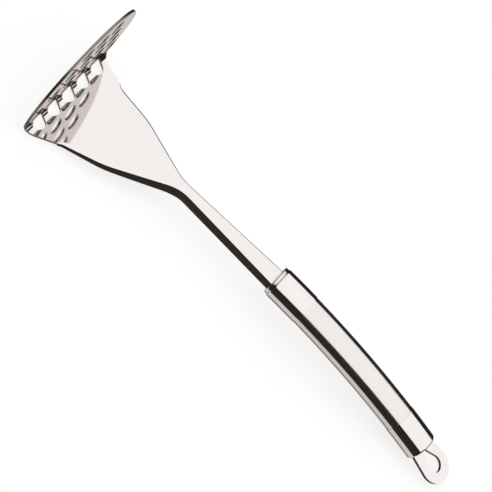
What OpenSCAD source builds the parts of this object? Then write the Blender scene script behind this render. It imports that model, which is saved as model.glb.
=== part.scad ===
// Potato masher: a blade pressed from one steel sheet, fixed into a hollow steel handle.
// Units are millimetres. +X runs from the mashing plate to the hanging eye and +Z is up.
// The tool lies on its back: it rests on the outside of the plate fold and on the rear end
// of the handle. The origin is on the resting surface, under the middle of the bounding box.

/* [Blade sheet] */
// Thickness of the pressed steel sheet
sheet = 1.5; // [1:0.1:2]
// Inside radius of the fold between the mashing plate and the fan
fold_radius = 4.5; // [3:0.5:6]
// Angle between the mashing plate and the fan, in degrees
fold_angle = 82; // [76:0.5:88]
// Angle between the fan and the shaft, in degrees
fan_tilt = 10.5; // [6:0.5:14]

/* [Mashing plate] */
// Radius of the round mashing plate
plate_radius = 42.5; // [39:0.5:46]
// Distance from the start of the fold up to the centre of the plate
plate_centre = 18; // [15:0.5:22]
// Diameter of each mashing hole
hole_d = 9.8; // [7:0.2:10.6]
// Sideways distance between neighbouring holes of one row
hole_pitch = 13.5; // [12.5:0.25:14]
// Distance from one row of holes to the next
row_pitch = 13; // [12:0.25:13.5]
// Distance from the start of the fold up to the first full row
first_row = 8.6; // [7.6:0.2:10]

/* [Fan and shaft] */
// Half width of the fan where its turned-down flanges begin
flange_start_half = 27.6; // [25:0.2:29]
// Half width of the fan at the shoulder, where it starts to narrow quickly
shoulder_half = 21.4; // [19:0.2:24]
// Half width of the shaft at its narrowest place, the neck
neck_half = 3.1; // [2.6:0.1:4]
// Half width of the shaft where it enters the handle
shaft_half = 5.8; // [5:0.1:6.4]
// Distance along the fan from the fold corner to the bend at the neck
neck_run = 84; // [78:1:92]
// Radius of the bend at the neck
neck_radius = 60; // [40:5:80]
// Depth of the flange near the neck
flange_neck = 6; // [5:0.2:7]
// Depth of the flange where the shaft enters the handle
flange_handle = 5.2; // [4.4:0.2:5.8]

/* [Handle] */
// Distance from the fold corner to the front of the handle
handle_start = 151; // [145:1:160]
// Radius of the downward curve of the handle
handle_radius = 480; // [400:10:700]
// Length of the handle along its curve
handle_length = 120; // [110:1:130]
// Length of each polished end of the handle
polished_length = 20.5; // [16:0.5:26]
// Half width of the handle, sideways
handle_half_w = 10; // [9.4:0.1:11]
// Half height of the handle
handle_half_h = 8.6; // [8:0.1:9.4]
// Radius of the rounded outer edge at both handle ends
end_round = 1; // [0.8:0.1:3]
// Wall thickness of the hollow handle pieces
wall = 1; // [0.8:0.1:1.4]
// How far the front plug stands out of the handle
plug_out = 2; // [1:0.5:3]

/* [Hanging eye] */
// Thickness of the flat hanging eye
eye_thick = 1.8; // [1.4:0.1:2.4]
// Outside radius of the rounded end of the eye
eye_radius = 10.4; // [9:0.2:12]
// Distance from the handle end to the centre of that rounded end
eye_centre = 13; // [11:0.5:16]
// Radius of the round part of the teardrop hole
eye_hole_radius = 5; // [3.5:0.25:6]

/* [Hidden] */
$fn = 96;

steel = [0.78, 0.78, 0.77];
satin = [0.66, 0.66, 0.65];

// How far a cutting shape runs past what it cuts.
over = 5;
// Straight sides that meet a circle at a tangent end at this share of its radius.
tangent_slack = 0.997;
// The rear cap's curved and flat parts are tied by a core this far each side of their seam
// and this deep under the surface.
seam_reach = 0.5;
seam_depth = 0.4;

// Fold, in the side view (x along the tool towards the handle, z up). The origin of the side
// view is the fold corner, where the plate and fan faces would meet. The plate leans away
// from the handle when the two angles add up to more than 90 degrees.
plate_lean = fold_angle + fan_tilt - 90;
fold_tangent = fold_radius / tan(fold_angle / 2);
fold_outer = fold_radius + sheet;
bisector = fan_tilt + fold_angle / 2;
fold_middle = fold_radius / sin(fold_angle / 2) * [cos(bisector), sin(bisector)];
plate_top = plate_centre + plate_radius;
fold_steps = 24;

// Neck bend: the point where the fan and shaft faces would meet, and the bend's tangent length.
neck_x = neck_run * cos(fan_tilt);
shaft_face = neck_run * sin(fan_tilt);
neck_tangent = neck_radius * tan(fan_tilt / 2);
neck_middle = [neck_x + neck_tangent, shaft_face - neck_radius];
neck_steps = 6;

// Tang: the part of the shaft inside the handle.
tang_length = 18;
tang_end = handle_start + tang_length;

// Edge of the fan and shaft in the top view: corner points and the radius at each corner.
fold_half = sqrt(pow(plate_radius, 2) - pow(plate_centre + fold_outer, 2));
flange_x = 19.4;
step_x = 17.2;
step_half = flange_start_half + 1.7;
shoulder_x = 42;
edge_path = [
    [fold_middle[0] - 1, fold_half],
    [fold_middle[0], fold_half],
    [step_x, step_half],
    [flange_x, flange_start_half],
    [shoulder_x, shoulder_half],
    [neck_x - 4.2, neck_half - 0.1],
    [handle_start, shaft_half],
    [tang_end, shaft_half]
];
step_round = 3;
shoulder_round = 60;
neck_round = 25;
edge_round = [0, 0, step_round, step_round, shoulder_round, neck_round, 0, 0];
path_steps = 10;

// Holes in each row of the plate, counted from the fold upwards, and in the fold itself.
fold_holes = 5;
plate_rows = [6, 5, 4, 3];

// Handle: height of its axis at the front, and the rounding of its oval section.
handle_axis = shaft_face - 2.75;
side_round = 7;
grip_step = 0.25;
spigot_length = 9;
spigot_overlap = 4;
plug_half_w = 8.8;
plug_half_h = 7.4;
plug_in = 4;
slot_clear = 0.1;

// Hanging eye.
eye_base_half = 8.75;
eye_tang_half = 6;
eye_tang_length = 8;
eye_hole_centre = 12.4;
eye_tip = 2.6;
eye_tip_radius = 0.8;

// Resting pose. Two round edges touch the surface: the outside of the fold, and the lower
// rear edge of the handle. The tool is tipped until both are equally low.
function handle_angle(run) = run / handle_radius * 180 / PI;
function handle_x(run, up) = handle_start + (handle_radius + up) * sin(handle_angle(run));
function handle_z(run, up) = handle_axis - handle_radius
                             + (handle_radius + up) * cos(handle_angle(run));
rear_run = handle_length - end_round;
rear_up = end_round - handle_half_h;
rest_dx = handle_x(rear_run, rear_up) - fold_middle[0];
rest_dz = fold_middle[1] - handle_z(rear_run, rear_up);
lay_tilt = acos((fold_outer - end_round) / norm([rest_dx, rest_dz])) - atan2(rest_dx, rest_dz);
lift = fold_outer - fold_middle[1] * cos(lay_tilt) - fold_middle[0] * sin(lay_tilt);

// Ends of the bounding box along X, used to put the origin under its middle.
plate_slope = plate_lean + lay_tilt;
plate_front = fold_middle[0] * cos(lay_tilt) - fold_middle[1] * sin(lay_tilt)
              - fold_outer * cos(plate_slope) - plate_top * sin(plate_slope);
eye_run_x = handle_x(handle_length, 0)
            + eye_centre * cos(handle_angle(handle_length));
eye_run_z = handle_z(handle_length, 0)
            - eye_centre * sin(handle_angle(handle_length));
eye_slope = handle_angle(handle_length) - lay_tilt;
eye_end = eye_run_x * cos(lay_tilt) - eye_run_z * sin(lay_tilt)
          + eye_radius * cos(eye_slope) + eye_thick / 2 * sin(eye_slope);
middle_x = (plate_front + eye_end) / 2;

// --- Helpers -------------------------------------------------------------------------

// Moves a path sideways by d (positive is towards the centre line).
function normal(p, q) = [q[1] - p[1], p[0] - q[0]] / norm(q - p);
function corner_shift(a, b, d) = d * (a + b) / (1 + a * b);
function inset(path, d) = [
    for (i = [0 : len(path) - 1])
        let (a = normal(path[max(i - 1, 0)], path[max(i, 1)]),
             b = normal(path[min(i, len(path) - 2)], path[min(i + 1, len(path) - 1)]))
        path[i] + corner_shift(a, b, d)
];

// Rounds every corner of a path with the radius given for it.
function corner_arc(p, q, s, r) =
    let (u = (p - q) / norm(p - q),
         v = (s - q) / norm(s - q),
         half = acos(u * v) / 2,
         centre = q + (u + v) / norm(u + v) * r / sin(half),
         from = q + u * r / tan(half) - centre,
         turn = (90 - half) * 2 * sign(from[0] * v[1] - from[1] * v[0]))
    [for (k = [0 : path_steps])
        let (g = turn * k / path_steps)
        centre + [from[0] * cos(g) - from[1] * sin(g), from[0] * sin(g) + from[1] * cos(g)]];
function rounded(path, radii) = [
    for (i = [0 : len(path) - 1])
        each (radii[i] == 0 ? [path[i]]
              : corner_arc(path[i - 1], path[i], path[i + 1], radii[i]))
];
function mirrored(path) = [for (p = path) [p[0], -p[1]]];
function reversed(path) = [for (i = [len(path) - 1 : -1 : 0]) path[i]];

// Lays the finished tool on its back.
module as_laid() {
    translate([-middle_x, 0, lift]) rotate([0, -lay_tilt, 0]) children();
}

// Stands a flat side-view shape up and thickens it sideways.
module across(width) {
    rotate([90, 0, 0]) linear_extrude(height = width, center = true) children();
}

// Points along an arc in the side view.
function arc(centre, r, from, to, steps) = [
    for (k = [0 : steps])
        let (g = from + (to - from) * k / steps)
        centre + r * [cos(g), sin(g)]
];

// --- Blade ---------------------------------------------------------------------------

// Side view of one surface of the sheet, this far below the face that meets the food:
// down the plate, round the fold, up the fan, round the neck and along the shaft.
function sheet_line(depth) = concat(
    [on_plate(plate_top + over, depth)],
    arc(fold_middle, fold_radius + depth, 180 + plate_lean, 270 + fan_tilt, fold_steps),
    shaft_line(depth)
);
function shaft_line(depth) = concat(
    arc(neck_middle, neck_radius - depth, 90 + fan_tilt, 90, neck_steps),
    [[tang_end, shaft_face - depth]]
);

// Point of the side view at a distance up the plate from the fold and a depth behind its face.
function on_plate(up, depth) = fold_middle + [
    -(fold_radius + depth) * cos(plate_lean) - up * sin(plate_lean),
    up * cos(plate_lean) - (fold_radius + depth) * sin(plate_lean)
];

module sheet_side() {
    polygon(concat(sheet_line(sheet), reversed(sheet_line(0))));
}

// Point of the side view at a distance along the fan and a depth below it.
function on_fan(along, depth) = [
    along * cos(fan_tilt) + depth * sin(fan_tilt),
    along * sin(fan_tilt) - depth * cos(fan_tilt)
];

// Side view of the flanges: shallow where they begin, deepest at the neck.
flange_path = [
    [step_x, sheet / 2],
    [flange_x + 0.8, 2.2],
    [55, 4.8],
    [neck_run - neck_tangent, flange_neck]
];
flange_round = [0, 4, 0, 0];

module flange_side() {
    lower = concat(
        [for (p = rounded(flange_path, flange_round)) on_fan(p[0], p[1])],
        arc(neck_middle, neck_radius - flange_neck, 90 + fan_tilt, 90, neck_steps),
        [[handle_start, shaft_face - flange_handle], [tang_end, shaft_face - flange_handle]]
    );
    polygon(concat(lower, reversed(shaft_line(sheet / 2))));
}

// Top view of the fan and shaft.
module fan_outline(path, radii) {
    edge = rounded(path, radii);
    polygon(concat(mirrored(edge), reversed(edge)));
}

module flange_outline() {
    inner = [for (r = edge_round)
        r == shoulder_round ? r - sheet : r == neck_round ? r + sheet : 0];
    difference() {
        fan_outline(edge_path, edge_round);
        fan_outline(inset(edge_path, sheet), inner);
    }
}

// Holes of one row, centred on the middle of the plate.
module hole_row(count, length) {
    for (i = [0 : count - 1])
        translate([0, (i - (count - 1) / 2) * hole_pitch, 0])
            rotate([0, 90, 0]) cylinder(d = hole_d, h = length, center = true);
}

// Puts a shape at the fold centre, +Z up the plate and +X through it towards the handle.
module plate_frame() {
    translate([fold_middle[0], 0, fold_middle[1]]) rotate([0, -plate_lean, 0]) children();
}

// Everything inside the round plate and in front of the middle of the fold, and everything
// inside the outline of the fan and shaft.
module blade_region() {
    plate_frame() translate([-fold_outer - over, 0, plate_centre]) rotate([0, 90, 0])
        cylinder(r = plate_radius, h = over + fold_outer, $fn = 180);
    translate([0, 0, -over])
        linear_extrude(height = 2 * over + shaft_face) fan_outline(edge_path, edge_round);
}

module blade_sheet() {
    intersection() {
        across(2 * plate_radius + over) sheet_side();
        union() blade_region();
    }
}

module blade_flanges() {
    intersection() {
        across(2 * plate_radius) flange_side();
        translate([0, 0, -2 * over])
            linear_extrude(height = 4 * over + shaft_face) flange_outline();
    }
}

module blade() {
    color(steel) as_laid() difference() {
        union() {
            blade_sheet();
            blade_flanges();
        }
        plate_frame() for (row = [0 : len(plate_rows) - 1])
            translate([-fold_outer, 0, first_row + row * row_pitch])
                hole_row(plate_rows[row], 2 * over);
        rotate([0, -bisector, 0]) hole_row(fold_holes, 2 * fold_tangent);
    }
}

// --- Handle --------------------------------------------------------------------------

// Oval made of four tangent arcs: half height h (local x), half width w (local y).
function oval_centre(w) = w - side_round_for(w);
function side_round_for(w) = side_round - (handle_half_w - w);
function oval_offset(w, h) =
    let (c = oval_centre(w), k = h - side_round_for(w)) (c * c - k * k) / (2 * k);

// The region of the oval that belongs to its two long arcs.
module long_arc_region(w, h) {
    c = oval_centre(w);
    d = oval_offset(w, h);
    reach = 3 * w / norm([c, d]);
    polygon([
        [0, c],
        [-d * reach, c + c * reach],
        [-d * reach, -c - c * reach],
        [0, -c],
        [d * reach, -c - c * reach],
        [d * reach, c + c * reach]
    ]);
}

module oval(w, h) {
    c = oval_centre(w);
    d = oval_offset(w, h);
    for (side = [-1, 1])
        translate([0, side * c]) circle(r = side_round_for(w));
    intersection() {
        translate([-d, 0]) circle(r = h + d);
        translate([d, 0]) circle(r = h + d);
        long_arc_region(w, h);
    }
}

module oval_ring(w, h, thick) {
    difference() {
        oval(w, h);
        oval(w - thick, h - thick);
    }
}

// Disc of radius r and height end_round whose upper edge is rounded.
module rounded_disc(r) {
    rotate_extrude() {
        square([r - end_round, end_round]);
        translate([r - end_round, 0]) intersection() {
            circle(r = end_round);
            square(end_round);
        }
    }
}

// Oval slab with a rounded upper edge.
module rounded_oval(w, h) {
    c = oval_centre(w);
    d = oval_offset(w, h);
    for (side = [-1, 1])
        translate([0, side * c, 0]) rounded_disc(side_round_for(w));
    intersection() {
        translate([-d, 0, 0]) rounded_disc(h + d);
        translate([d, 0, 0]) rounded_disc(h + d);
        linear_extrude(height = end_round) long_arc_region(w, h);
    }
}

// Sweeps an oval section along the curve of the handle, between two distances from its front.
module sweep(from, to) {
    translate([handle_start, 0, handle_axis - handle_radius])
        rotate([0, -90, -90])
            rotate([0, 0, handle_angle(from)])
                rotate_extrude(angle = handle_angle(to - from), $fn = 720)
                    translate([handle_radius, 0]) children();
}

// Puts a shape on the axis of the handle, its +X pointing to the rear.
module on_handle(run) {
    translate([handle_start, 0, handle_axis - handle_radius])
        rotate([0, handle_angle(run), 0])
            translate([0, 0, handle_radius]) children();
}

// A slab across the handle, from run towards the rear (or the front when facing is -1).
module slab(run, thick, facing = 1) {
    on_handle(run) rotate([0, 90 * facing, 0]) linear_extrude(height = thick) children();
}

// Bore of a handle end: the plug hole, then the hollow.
module end_bore(run, facing) {
    slab(run - facing * over, over + plug_in, facing) oval(plug_half_w, plug_half_h);
}

module front_ferrule() {
    color(steel) as_laid() difference() {
        union() {
            sweep(end_round, polished_length) oval(handle_half_w, handle_half_h);
            on_handle(end_round) rotate([0, -90, 0]) rounded_oval(handle_half_w, handle_half_h);
        }
        sweep(plug_in, polished_length + over)
            oval(handle_half_w - wall, handle_half_h - wall);
        end_bore(0, 1);
    }
}

module rear_cap() {
    color(steel) as_laid() difference() {
        union() {
            sweep(handle_length - polished_length, rear_run) oval(handle_half_w, handle_half_h);
            on_handle(rear_run) rotate([0, 90, 0]) rounded_oval(handle_half_w, handle_half_h);
            slab(rear_run - seam_reach, 2 * seam_reach)
                oval(handle_half_w - seam_depth, handle_half_h - seam_depth);
        }
        sweep(handle_length - polished_length - over, handle_length - plug_in)
            oval(handle_half_w - wall, handle_half_h - wall);
        end_bore(handle_length, -1);
    }
}

// Satin tube with a thinner spigot at each end that the polished pieces slide over.
module grip_tube() {
    w = handle_half_w - grip_step;
    h = handle_half_h - grip_step;
    front = polished_length;
    rear = handle_length - polished_length;
    color(satin) as_laid() {
        sweep(front, rear) oval_ring(w, h, wall);
        sweep(front - spigot_length, front + spigot_overlap)
            oval_ring(handle_half_w - wall, handle_half_h - wall, wall);
        sweep(rear - spigot_overlap, rear + spigot_length)
            oval_ring(handle_half_w - wall, handle_half_h - wall, wall);
    }
}

// Plug that closes the front of the handle around the shaft.
module front_plug() {
    slot_w = 2 * (shaft_half + slot_clear);
    color(steel) as_laid() difference() {
        slab(plug_in, plug_in + plug_out, -1) oval(plug_half_w, plug_half_h);
        translate([handle_start - over, -slot_w / 2, shaft_face - flange_handle - slot_clear])
            cube([tang_length, slot_w, flange_handle + 2 * slot_clear]);
    }
}

// Plug that closes the rear of the handle around the tang of the hanging eye.
module rear_plug() {
    color(steel) as_laid() difference() {
        slab(handle_length, plug_in, -1) oval(plug_half_w, plug_half_h);
        on_handle(handle_length)
            cube([4 * over, 2 * (eye_tang_half + slot_clear), eye_thick + 2 * slot_clear],
                 center = true);
    }
}

// --- Hanging eye ---------------------------------------------------------------------

// Two circles on the x axis joined by straight sides that end just inside the circles.
module tapered_slot(x1, r1, x2, r2) {
    lean = asin((r2 - r1) / (x2 - x1));
    side = tangent_slack * [-sin(lean), cos(lean)];
    translate([x1, 0]) circle(r = r1);
    translate([x2, 0]) circle(r = r2);
    polygon([
        [x1 + r1 * side[0], -r1 * side[1]],
        [x2 + r2 * side[0], -r2 * side[1]],
        [x2 + r2 * side[0], r2 * side[1]],
        [x1 + r1 * side[0], r1 * side[1]]
    ]);
}

module eye_outline() {
    lean = asin((eye_radius - eye_base_half) / eye_centre);
    side = tangent_slack * eye_radius * [-sin(lean), cos(lean)];
    translate([eye_centre, 0]) circle(r = eye_radius);
    polygon([
        [0, -eye_base_half],
        [eye_centre + side[0], -side[1]],
        [eye_centre + side[0], side[1]],
        [0, eye_base_half]
    ]);
    translate([-eye_tang_length, -eye_tang_half])
        square([eye_tang_length + 1, 2 * eye_tang_half]);
}

module hanging_eye() {
    color(steel) as_laid() on_handle(handle_length)
        translate([0, 0, -eye_thick / 2]) linear_extrude(height = eye_thick) difference() {
            eye_outline();
            tapered_slot(eye_tip, eye_tip_radius, eye_hole_centre, eye_hole_radius);
        }
}

blade();
front_plug();
front_ferrule();
grip_tube();
rear_cap();
rear_plug();
hanging_eye();
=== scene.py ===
"""Looks for the potato masher: polished blade and handle ends, satin grip, plain studio.

The blade and the lip of the front plug are remodelled here with rounded bends. All other
pieces keep their CAD shapes. Lengths are written in millimetres unless they carry * MM."""
import math

import bpy
from mathutils import Matrix, Vector
from mathutils.geometry import delaunay_2d_cdt


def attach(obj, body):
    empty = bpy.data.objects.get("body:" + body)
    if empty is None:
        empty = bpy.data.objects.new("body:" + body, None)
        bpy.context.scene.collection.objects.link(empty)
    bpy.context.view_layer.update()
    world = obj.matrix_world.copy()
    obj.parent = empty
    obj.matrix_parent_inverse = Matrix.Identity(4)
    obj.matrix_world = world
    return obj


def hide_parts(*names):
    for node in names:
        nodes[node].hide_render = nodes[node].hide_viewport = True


MM = 0.001

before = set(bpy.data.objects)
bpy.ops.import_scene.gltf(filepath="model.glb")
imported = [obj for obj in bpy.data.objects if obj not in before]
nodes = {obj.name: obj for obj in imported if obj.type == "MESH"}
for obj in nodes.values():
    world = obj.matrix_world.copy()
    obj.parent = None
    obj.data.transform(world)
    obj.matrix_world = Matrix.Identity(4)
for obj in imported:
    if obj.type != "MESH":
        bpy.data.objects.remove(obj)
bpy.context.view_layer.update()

# --- Where the part lies -------------------------------------------------------------
# The tool was drawn with its shaft level and then laid on its back: tipped by LAY_TILT
# and moved so that the origin is under the middle of its bounding box.
LAY_TILT = math.radians(2.1477)
LAY_SHIFT = Vector((-142.9498, 0.0, 0.4757)) * MM
LAY = Matrix.Translation(LAY_SHIFT) @ Matrix.Rotation(-LAY_TILT, 4, "Y")

# --- Dimensions, as drawn ------------------------------------------------------------------
SHEET = 1.5
FOLD_RADIUS = 4.5
FOLD_ANGLE = math.radians(82.0)
FAN_TILT = math.radians(10.5)
PLATE_LEAN = FOLD_ANGLE + FAN_TILT - math.pi / 2
PLATE_RADIUS = 42.5
PLATE_CENTRE = 18.0
HOLE_RADIUS = 4.9
HOLE_PITCH = 13.5
ROW_PITCH = 13.0
FIRST_ROW = 8.6
PLATE_ROWS = (6, 5, 4, 3)
FOLD_HOLES = 5
NECK_RUN = 84.0
NECK_RADIUS = 60.0
HANDLE_START = 151.0
TANG_END = 169.0
STEP_X = 17.2
# The flanges deepen quickly from the step to this distance along the fan.
FLANGE_RISE_END = 20.2
# Corner points of the fan and shaft edge in the top view: x, half width, corner radius.
EDGE = ((STEP_X, 29.3, 3.0), (19.4, 27.6, 3.0), (42.0, 21.4, 60.0), (78.4, 3.0, 25.0),
        (HANDLE_START, 5.8, 0.0), (TANG_END, 5.8, 0.0))
# Depth of the turned-down flange at distances along the face.
FLANGE = ((STEP_X, 1.6), (FLANGE_RISE_END, 2.2), (55.0, 4.3), (78.5, 5.3), (153.0, 4.7),
          (200.0, 4.7))
# Radius of the rounded bend above the flange at distances along the face.
BEND = ((STEP_X, 1.2), (22.0, 2.5), (60.0, 2.3), (80.0, 1.6), (200.0, 1.6))
# The level face stops short of the drawn edge by this share of the bend radius.
BEND_INSET = 0.75
BEND_ANGLE = math.radians(75.0)

FOLD_LENGTH = FOLD_RADIUS * (math.pi - FOLD_ANGLE)
FOLD_TANGENT = FOLD_RADIUS / math.tan(FOLD_ANGLE / 2)
FOLD_BISECTOR = FAN_TILT + FOLD_ANGLE / 2
FOLD_X = FOLD_RADIUS / math.sin(FOLD_ANGLE / 2) * math.cos(FOLD_BISECTOR)
FOLD_Z = FOLD_RADIUS / math.sin(FOLD_ANGLE / 2) * math.sin(FOLD_BISECTOR)
FOLD_BOTTOM = FOLD_RADIUS * (math.pi / 2 - PLATE_LEAN)
FOLD_HALF = math.sqrt(PLATE_RADIUS ** 2 - (PLATE_CENTRE + FOLD_RADIUS + SHEET) ** 2)
NECK_TANGENT = NECK_RADIUS * math.tan(FAN_TILT / 2)
NECK_START = NECK_RUN - NECK_TANGENT
NECK_LENGTH = NECK_RADIUS * FAN_TILT
NECK_END_X = NECK_RUN * math.cos(FAN_TILT) + NECK_TANGENT
SHAFT_Z = NECK_RUN * math.sin(FAN_TILT)
PLATE_TOP = PLATE_CENTRE + PLATE_RADIUS

# The blade mesh changes from triangles to sections at this distance along the fan.
JOIN = 12.0
JOIN_STEPS = 16
PLATE_STEPS = 150
EDGE_STEPS = 24
HOLE_STEPS = 48
FOLD_STEPS = 18
FOLD_COLUMNS = 72
BEND_STEPS = 8
# Steps of the sections along the fan, the neck and the shaft.
JOIN_SECTIONS = 4
RISE_SECTIONS = 12
FAN_SECTIONS = 48
NECK_SECTIONS = 10
SHAFT_SECTIONS = 24
# The last section without flanges comes this far before the first one with them.
STEP_GAP = 0.01
# The first section of the fan comes this far behind the last one of the rise.
RISE_GAP = 0.5
# Extra points this close to a bend keep its shading off the flat faces.
FOLD_GUARD = 0.4
BEND_GUARD = 0.3
# Free points keep this far from the outline and from the holes.
OUTLINE_MARGIN = 0.5
HOLE_MARGIN = 0.3
# A hole's rim is a polygon, so triangles outside it can lie this far inside its circle.
RIM_SLACK = 0.02
# The sheet's half width is never looked up closer than this to the plate's far end.
PLATE_END_GUARD = 0.01
# Points of the flat sheet closer together than this become one.
MERGE_DISTANCE = 1e-5
# The straight part of a flange below its bend is at least this deep.
LEAST_DROP = 0.3


# --- Helpers -----------------------------------------------------------------------------
def between(low, high, steps):
    """Evenly spaced values from low to high."""
    return [low + (high - low) * k / steps for k in range(steps + 1)]


def lookup(table, x):
    """Straight-line value of a table of (x, value) rows."""
    for (x0, v0), (x1, v1) in zip(table, table[1:]):
        if x <= x1:
            return v0 + (v1 - v0) * max(x - x0, 0.0) / (x1 - x0)
    return table[-1][1]


def rounded(corners, steps=10):
    """Points of a path of (x, y, radius) corners with each corner rounded."""
    points = []
    for k, (x, y, radius) in enumerate(corners):
        corner = Vector((x, y))
        if radius == 0.0 or k == 0:
            points.append(corner)
            continue
        back = (Vector(corners[k - 1][:2]) - corner).normalized()
        ahead = (Vector(corners[k + 1][:2]) - corner).normalized()
        half = back.angle(ahead) / 2
        centre = corner + (back + ahead).normalized() * radius / math.sin(half)
        first = corner + back * radius / math.tan(half) - centre
        last = corner + ahead * radius / math.tan(half) - centre
        for s in between(0.0, 1.0, steps):
            points.append(centre + first.lerp(last, s).normalized() * radius)
    return points


def smooth_mesh(name, points, faces):
    """A smooth-shaded mesh from points drawn in millimetres, laid down like the CAD part."""
    mesh = bpy.data.meshes.new(name)
    mesh.from_pydata([LAY @ (Vector(p) * MM) for p in points], [], faces)
    mesh.validate()
    mesh.shade_smooth()
    obj = bpy.data.objects.new(name, mesh)
    bpy.context.scene.collection.objects.link(obj)
    return obj


# --- Blade: the pressed sheet with rounded bends and wrapped holes -----------------------
def face_point(along, y):
    """Point of the food-side face. along is measured on the face from the top of the fold:
    negative up the plate, then round the fold and along the fan."""
    if along <= 0.0:
        x = FOLD_X - FOLD_RADIUS * math.cos(PLATE_LEAN) + along * math.sin(PLATE_LEAN)
        return (x, y, FOLD_Z - FOLD_RADIUS * math.sin(PLATE_LEAN) - along * math.cos(PLATE_LEAN))
    if along <= FOLD_LENGTH:
        turn = math.pi + PLATE_LEAN + along / FOLD_RADIUS
        return (FOLD_X + FOLD_RADIUS * math.cos(turn), y, FOLD_Z + FOLD_RADIUS * math.sin(turn))
    run = along - FOLD_LENGTH + FOLD_TANGENT
    return (run * math.cos(FAN_TILT), y, run * math.sin(FAN_TILT))


def spine(run):
    """Centre-line point of the face and its slope, at a distance along the fan and shaft."""
    if run <= NECK_START:
        return run * math.cos(FAN_TILT), run * math.sin(FAN_TILT), FAN_TILT
    if run <= NECK_START + NECK_LENGTH:
        slope = FAN_TILT - (run - NECK_START) / NECK_RADIUS
        x = NECK_END_X - NECK_RADIUS * math.sin(slope)
        return x, SHAFT_Z - NECK_RADIUS * (1 - math.cos(slope)), slope
    return NECK_END_X + run - NECK_START - NECK_LENGTH, SHAFT_Z, 0.0


EDGE_PATH = [(p.x, p.y) for p in rounded(EDGE)]
EDGE_PATH.insert(0, (FOLD_X, FOLD_HALF))


def sheet_half(along):
    """Half width of the flat part of the sheet, from the plate's top to the join."""
    if along <= FOLD_BOTTOM:
        drop = along if along < 0.0 else along * (FOLD_RADIUS + SHEET) / FOLD_BOTTOM
        return math.sqrt(max(PLATE_RADIUS ** 2 - (PLATE_CENTRE + drop) ** 2, 0.0))
    return lookup(EDGE_PATH, face_point(along, 0.0)[0])


JOIN_ALONG = FOLD_LENGTH + JOIN - FOLD_TANGENT
HOLES = [(-(FIRST_ROW + row * ROW_PITCH), (k - (count - 1) / 2) * HOLE_PITCH)
         for row, count in enumerate(PLATE_ROWS) for k in range(count)]
HOLES += [(FOLD_LENGTH / 2, (k - (FOLD_HOLES - 1) / 2) * HOLE_PITCH) for k in range(FOLD_HOLES)]


def sheet_outline():
    """Outline of the plate, fold and start of the fan on the unrolled sheet."""
    join_half = sheet_half(JOIN_ALONG)
    edge = [(along, sheet_half(along)) for along in between(JOIN_ALONG, 0.0, EDGE_STEPS)]
    start = math.acos(PLATE_CENTRE / PLATE_RADIUS)
    arc = [(-PLATE_CENTRE + PLATE_RADIUS * math.cos(turn), PLATE_RADIUS * math.sin(turn))
           for turn in between(start, 2 * math.pi - start, PLATE_STEPS)]
    loop = [(JOIN_ALONG, y) for y in between(-join_half, join_half, JOIN_STEPS)]
    loop += edge[1:-1] + arc
    loop += [(along, -y) for along, y in reversed(edge[1:-1])]
    return loop


def hole_loop(centre):
    """Rim of one hole on the unrolled sheet."""
    turns = [2 * math.pi * k / HOLE_STEPS for k in range(HOLE_STEPS)]
    return [(centre[0] + HOLE_RADIUS * math.cos(turn),
             centre[1] + HOLE_RADIUS * math.sin(turn)) for turn in turns]


def in_hole(along, y, margin):
    """Whether a point of the unrolled sheet is in a hole, or within the margin round it."""
    return any(math.hypot(along - a, y - b) < HOLE_RADIUS + margin for a, b in HOLES)


def sheet_front(points, faces):
    """Triangles of the plate, the fold and the start of the fan."""
    flat = []
    edges = []
    for loop in [sheet_outline()] + [hole_loop(centre) for centre in HOLES]:
        first = len(flat)
        flat += loop
        edges += [(first + k, first + (k + 1) % len(loop)) for k in range(len(loop))]
    lines = [-FOLD_GUARD, FOLD_LENGTH + FOLD_GUARD] + between(0.0, FOLD_LENGTH, FOLD_STEPS)
    for along in lines:
        half = sheet_half(along) - OUTLINE_MARGIN
        flat += [(along, y) for y in between(-half, half, FOLD_COLUMNS)
                 if not in_hole(along, y, HOLE_MARGIN)]
    verts, _, tris, *_ = delaunay_2d_cdt([Vector(p) for p in flat], edges, [], 0, MERGE_DISTANCE)
    base = len(points)
    points += [face_point(v.x, v.y) for v in verts]
    for tri in tris:
        along = sum(verts[k].x for k in tri) / 3
        y = sum(verts[k].y for k in tri) / 3
        within = max(along, PLATE_END_GUARD - PLATE_TOP)
        beyond = along > JOIN_ALONG or abs(y) > sheet_half(within)
        if not beyond and not in_hole(along, y, -RIM_SLACK):
            faces.append([base + k for k in tri])


def section(run):
    """Half section of the fan or shaft: sideways and downward distances from the middle."""
    half = lookup(EDGE_PATH, spine(run)[0])
    if run < STEP_X:
        return [(y, 0.0) for y in between(0.0, half, JOIN_STEPS // 2)[1:]]
    depth = lookup(FLANGE, run)
    radius = lookup(BEND, run)
    level = half - BEND_INSET * radius
    row = [(y, 0.0) for y in between(0.0, level - BEND_GUARD, JOIN_STEPS // 2)[1:]]
    for turn in between(0.0, BEND_ANGLE, BEND_STEPS):
        row.append((level + radius * math.sin(turn), radius * (1 - math.cos(turn))))
    drop = max(depth - row[-1][1], LEAST_DROP)
    row.append((row[-1][0] + drop / math.tan(BEND_ANGLE), row[-1][1] + drop))
    return row


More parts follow.
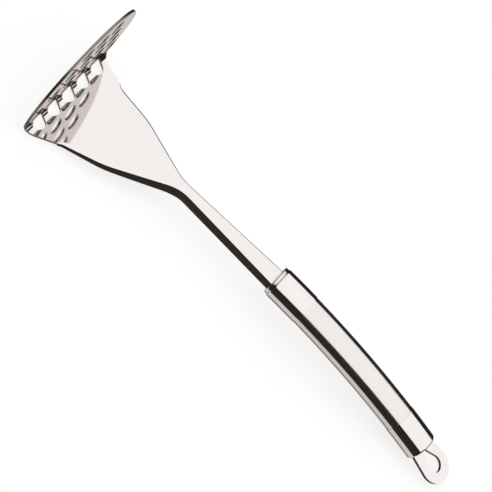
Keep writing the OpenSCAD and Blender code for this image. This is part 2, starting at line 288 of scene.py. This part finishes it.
def sheet_rear(points, faces):
    """Quads of the rest of the fan and of the shaft, section by section."""
    neck_end = NECK_START + NECK_LENGTH
    tang = TANG_END - NECK_END_X + neck_end
    runs = between(JOIN, STEP_X - STEP_GAP, JOIN_SECTIONS)
    runs += between(STEP_X, FLANGE_RISE_END, RISE_SECTIONS)
    runs += between(FLANGE_RISE_END + RISE_GAP, NECK_START, FAN_SECTIONS)
    runs += between(NECK_START, neck_end, NECK_SECTIONS)[1:]
    runs += between(neck_end, tang, SHAFT_SECTIONS)[1:]
    previous = None
    for run in runs:
        x, z, slope = spine(run)
        half = section(run)
        row = [(-y, drop) for y, drop in reversed(half)] + [(0.0, 0.0)] + half
        base = len(points)
        points += [(x + drop * math.sin(slope), y, z - drop * math.cos(slope)) for y, drop in row]
        current = list(range(base, base + len(row)))
        if previous:
            # Where the flanges start, the longer row is joined by its middle only.
            extra = (len(current) - len(previous)) // 2
            faces += [(previous[k], current[extra + k], current[extra + k + 1], previous[k + 1])
                      for k in range(len(previous) - 1)]
        previous = current


points = []
faces = []
sheet_front(points, faces)
sheet_rear(points, faces)
blade = smooth_mesh("blade_sheet", points, faces)
weld = blade.modifiers.new("weld", "WELD")
weld.merge_threshold = 0.005 * MM
thick = blade.modifiers.new("thickness", "SOLIDIFY")
thick.thickness = SHEET * MM
thick.offset = -1.0
thick.use_even_offset = True
soften = blade.modifiers.new("soft_edges", "BEVEL")
soften.width = 0.15 * MM
soften.segments = 2
soften.limit_method = "ANGLE"
soften.angle_limit = math.radians(50.0)
soften.harden_normals = True
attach(blade, "root")
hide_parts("blade")


# --- Front plug: its lip is nearly as wide as the handle and rounded in front -------------
# The middle of the handle lies this far below the top face of the shaft.
SHAFT_RISE = 2.75
HANDLE_AXIS = SHAFT_Z - SHAFT_RISE
# The oval's side arcs are centred this far from its middle.
OVAL_CENTRE = 3.0
LIP_HALF = (9.5, 8.1)
LIP_ROUND = 0.8
LIP_FRONT = -2.0
LIP_BACK = 0.4
LIP_STEPS = 6
OVAL_STEPS = 64


def oval(half_w, half_h):
    """Points (up, side) of the handle's oval, made of four tangent arcs."""
    side = half_w - OVAL_CENTRE
    gap = half_h - side
    shift = (OVAL_CENTRE ** 2 - gap ** 2) / (2 * gap)
    change = math.atan2(OVAL_CENTRE, shift)
    ring = []
    for k in range(OVAL_STEPS):
        turn = 2 * math.pi * k / OVAL_STEPS
        up, across = math.cos(turn), math.sin(turn)
        if abs(across) < math.sin(change):
            way = math.copysign(1.0, up)
            ring.append((up * (half_h + shift) - way * shift, across * (half_h + shift)))
        else:
            ring.append((side * up, side * across + math.copysign(OVAL_CENTRE, across)))
    return ring


# Each section is a distance behind the front of the handle and how much the oval shrinks.
points = []
faces = []
turns = between(0.0, math.pi / 2, LIP_STEPS)
sections = [(LIP_FRONT + LIP_ROUND * (1 - math.sin(turn)), LIP_ROUND * (1 - math.cos(turn)))
            for turn in reversed(turns)] + [(LIP_BACK, 0.0)]
for run, shrink in sections:
    ring = oval(LIP_HALF[0] - shrink, LIP_HALF[1] - shrink)
    base = len(points)
    points += [(HANDLE_START + run, side, HANDLE_AXIS + up) for up, side in ring]
    if base:
        faces += [(base - len(ring) + k, base - len(ring) + (k + 1) % len(ring),
                   base + (k + 1) % len(ring), base + k) for k in range(len(ring))]
faces.append(list(range(len(ring)))[::-1])
faces.append(list(range(len(points) - len(ring), len(points))))
front_lip = smooth_mesh("front_lip", points, faces)
flat_faces = front_lip.modifiers.new("flat_faces", "WEIGHTED_NORMAL")
flat_faces.keep_sharp = True
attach(front_lip, "root")
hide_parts("front_plug")


# --- Materials -----------------------------------------------------------------------
def new_material(name):
    """An empty material with its nodes and links."""
    material = bpy.data.materials.new(name)
    material.use_nodes = True
    material.node_tree.nodes.clear()
    return material, material.node_tree.nodes, material.node_tree.links


# Bare worn steel brightens less towards grazing angles than a perfect mirror.
GRAZING_TINT = (0.76, 0.72, 0.70, 1.0)


def steel(name, color, roughness, spread, grain_scale, grain_stretch, bump, aniso=0.0,
          painted_edge_shade=None):
    """Bare steel: a metal whose roughness and surface vary with stretched noise and scuffs.
    The optional last argument is a darker colour painted on the faces that stand steeply, which
    on a piece lying nearly level are its sheared edges: painted shade."""
    material, n, link = new_material(name)
    out = n.new("ShaderNodeOutputMaterial")
    shader = n.new("ShaderNodeBsdfPrincipled")
    shader.inputs["Metallic"].default_value = 1.0
    shader.inputs["Specular Tint"].default_value = GRAZING_TINT
    shader.inputs["Anisotropic"].default_value = aniso
    link.new(shader.outputs["BSDF"], out.inputs["Surface"])

    place = n.new("ShaderNodeTexCoord")
    stretch = n.new("ShaderNodeMapping")
    stretch.inputs["Scale"].default_value = grain_stretch
    link.new(place.outputs["Object"], stretch.inputs["Vector"])
    grain = n.new("ShaderNodeTexNoise")
    grain.inputs["Scale"].default_value = grain_scale
    grain.inputs["Detail"].default_value = 5.0
    link.new(stretch.outputs["Vector"], grain.inputs["Vector"])

    wear = n.new("ShaderNodeTexNoise")
    wear.inputs["Scale"].default_value = 45.0
    wear.inputs["Detail"].default_value = 3.0
    link.new(place.outputs["Object"], wear.inputs["Vector"])

    mixed = n.new("ShaderNodeMath")
    mixed.operation = "MULTIPLY"
    link.new(grain.outputs["Fac"], mixed.inputs[0])
    link.new(wear.outputs["Fac"], mixed.inputs[1])
    rough = n.new("ShaderNodeMapRange")
    rough.inputs["From Min"].default_value = 0.1
    rough.inputs["From Max"].default_value = 0.45
    rough.inputs["To Min"].default_value = roughness - spread
    rough.inputs["To Max"].default_value = roughness + spread
    link.new(mixed.outputs["Value"], rough.inputs["Value"])
    link.new(rough.outputs["Result"], shader.inputs["Roughness"])

    tint = n.new("ShaderNodeMix")
    tint.data_type = "RGBA"
    tint.inputs["A"].default_value = (*[c * 0.96 for c in color], 1.0)
    tint.inputs["B"].default_value = (*color, 1.0)
    link.new(wear.outputs["Fac"], tint.inputs["Factor"])
    if painted_edge_shade is None:
        link.new(tint.outputs["Result"], shader.inputs["Base Color"])
    else:
        # Faces that stand steeply take the darker colour: painted shade.
        facing = n.new("ShaderNodeSeparateXYZ")
        link.new(place.outputs["Normal"], facing.inputs["Vector"])
        upright = n.new("ShaderNodeMath")
        upright.operation = "ABSOLUTE"
        link.new(facing.outputs["Z"], upright.inputs[0])
        level = n.new("ShaderNodeMapRange")
        level.inputs["From Min"].default_value = 0.5
        level.inputs["From Max"].default_value = 0.8
        link.new(upright.outputs["Value"], level.inputs["Value"])
        painted_shade_mix = n.new("ShaderNodeMix")
        painted_shade_mix.data_type = "RGBA"
        painted_shade_mix.inputs["A"].default_value = (*painted_edge_shade, 1.0)
        link.new(level.outputs["Result"], painted_shade_mix.inputs["Factor"])
        link.new(tint.outputs["Result"], painted_shade_mix.inputs["B"])
        link.new(painted_shade_mix.outputs["Result"], shader.inputs["Base Color"])

    relief = n.new("ShaderNodeBump")
    relief.inputs["Strength"].default_value = bump
    relief.inputs["Distance"].default_value = 0.02 * MM
    link.new(grain.outputs["Fac"], relief.inputs["Height"])
    link.new(relief.outputs["Normal"], shader.inputs["Normal"])
    return material


polished_blade = steel("polished_blade", (0.79, 0.755, 0.745), 0.06, 0.03,
                       120.0, (1.0, 6.0, 1.0), 0.05)
polished_end = steel("polished_end", (0.79, 0.765, 0.755), 0.06, 0.03,
                     150.0, (1.0, 3.0, 3.0), 0.05)
# Rougher steel for the sheared edges of the blade's sheet, with its colour darkened as painted
# shade.
cut_edge_painted_shade = steel("cut_edge_painted_shade", (0.24, 0.205, 0.19), 0.34, 0.06, 600.0, (1.0, 1.0, 1.0), 0.4)
# The hanging eye's upright edge faces are painted near black: painted shade.
eye_steel_painted_edge_shade = steel("eye_steel_painted_edge_shade", (0.79, 0.765, 0.755), 0.06, 0.03,
                  150.0, (1.0, 3.0, 3.0), 0.05, painted_edge_shade=(0.07, 0.06, 0.055))
satin_grip = steel("satin_grip", (0.76, 0.735, 0.72), 0.15, 0.05,
                   900.0, (1.0, 1.0, 1.0), 0.22, 0.2)


def give(obj, material):
    """Makes this the only material of a piece."""
    obj.data.materials.clear()
    obj.data.materials.append(material)


for node, material in (("blade", polished_blade), ("front_plug", polished_end),
                       ("front_ferrule", polished_end), ("grip_tube", satin_grip),
                       ("rear_cap", polished_end), ("rear_plug", polished_end),
                       ("hanging_eye", eye_steel_painted_edge_shade)):
    give(nodes[node], material)
give(blade, polished_blade)
# The blade's rim faces, the hole walls and outer edges, take the rough cut edge steel, darkened
# as painted shade.
blade.data.materials.append(cut_edge_painted_shade)
thick.material_offset_rim = 1
give(front_lip, polished_end)

# --- Floor -------------------------------------------------------------------------------
bpy.ops.mesh.primitive_plane_add(size=8.0, location=(0, 0, -0.2 * MM))
floor = bpy.context.object
floor.name = "floor"
floor_mat, n, link = new_material("pale_floor")
out = n.new("ShaderNodeOutputMaterial")
shader = n.new("ShaderNodeBsdfPrincipled")
shader.inputs["Base Color"].default_value = (0.26, 0.26, 0.26, 1.0)
shader.inputs["Roughness"].default_value = 0.9
shader.inputs["Specular IOR Level"].default_value = 0.0
shader.inputs["Emission Color"].default_value = (1.0, 1.0, 1.0, 1.0)
shader.inputs["Emission Strength"].default_value = 0.78
link.new(shader.outputs["BSDF"], out.inputs["Surface"])
give(floor, floor_mat)
floor.visible_glossy = False

# --- Light tent: bright above, a dark band round the sides, a pale table below -----------
# Each stop is the height of a direction, from -1 straight down to 1 straight up, and its color.
TENT = ((-1.0, (0.12, 0.11, 0.10)), (-0.98, (0.66, 0.62, 0.60)), (-0.555, (0.68, 0.64, 0.62)),
        (-0.53, (0.032, 0.025, 0.021)), (0.455, (0.022, 0.018, 0.016)),
        (0.485, (0.97, 0.97, 0.97)), (1.0, (1.0, 1.0, 1.0)))
TENT_LEAN = 0.168
world = bpy.data.worlds.new("studio")
bpy.context.scene.world = world
world.use_nodes = True
n = world.node_tree.nodes
link = world.node_tree.links
n.clear()
out = n.new("ShaderNodeOutputWorld")
back = n.new("ShaderNodeBackground")
place = n.new("ShaderNodeTexCoord")
tilt = n.new("ShaderNodeVectorMath")
tilt.operation = "DOT_PRODUCT"
tilt.inputs[1].default_value = (0.0, TENT_LEAN, 1.0)
link.new(place.outputs["Generated"], tilt.inputs[0])
height = n.new("ShaderNodeMapRange")
height.inputs["From Min"].default_value = -1.0
height.inputs["From Max"].default_value = 1.0
link.new(tilt.outputs["Value"], height.inputs["Value"])
ramp = n.new("ShaderNodeValToRGB")
link.new(height.outputs["Result"], ramp.inputs["Fac"])
stops = ramp.color_ramp.elements
for k, (up, color) in enumerate(TENT):
    stop = stops[k] if k < 2 else stops.new(1.0)
    stop.position = (up + 1) / 2
    stop.color = (*color, 1.0)
link.new(ramp.outputs["Color"], back.inputs["Color"])
back.inputs["Strength"].default_value = 1.17
# Seen directly, the surroundings are a plain white backdrop.
backdrop = n.new("ShaderNodeBackground")
seen = n.new("ShaderNodeLightPath")
shown = n.new("ShaderNodeMixShader")
link.new(seen.outputs["Is Camera Ray"], shown.inputs["Fac"])
link.new(back.outputs["Background"], shown.inputs[1])
link.new(backdrop.outputs["Background"], shown.inputs[2])
link.new(shown.outputs["Shader"], out.inputs["Surface"])
backdrop.inputs["Color"].default_value = (0.98, 0.98, 0.98, 1.0)

# --- Camera ------------------------------------------------------------------------------
LOOK_AT = Vector((125.57, 0.88, 14.4)) * MM
DISTANCE = 1200 * MM
VIEW_RIGHT = Vector((0.712, 0.518, 0.474))
VIEW_UP = Vector((-0.6997, 0.5795, 0.4178))
view_back = VIEW_RIGHT.cross(VIEW_UP).normalized()
pose = Matrix((VIEW_RIGHT.normalized(), VIEW_UP.normalized(), view_back)).transposed()
camera = bpy.data.objects.new("camera", bpy.data.cameras.new("camera"))
bpy.context.scene.collection.objects.link(camera)
camera.matrix_world = LAY @ Matrix.Translation(LOOK_AT + DISTANCE * view_back) @ pose.to_4x4()
camera.data.lens = 165.4
camera.data.sensor_width = 36.0
camera.data.clip_end = 20.0
bpy.context.scene.camera = camera
bpy.context.scene.view_settings.view_transform = "Standard"
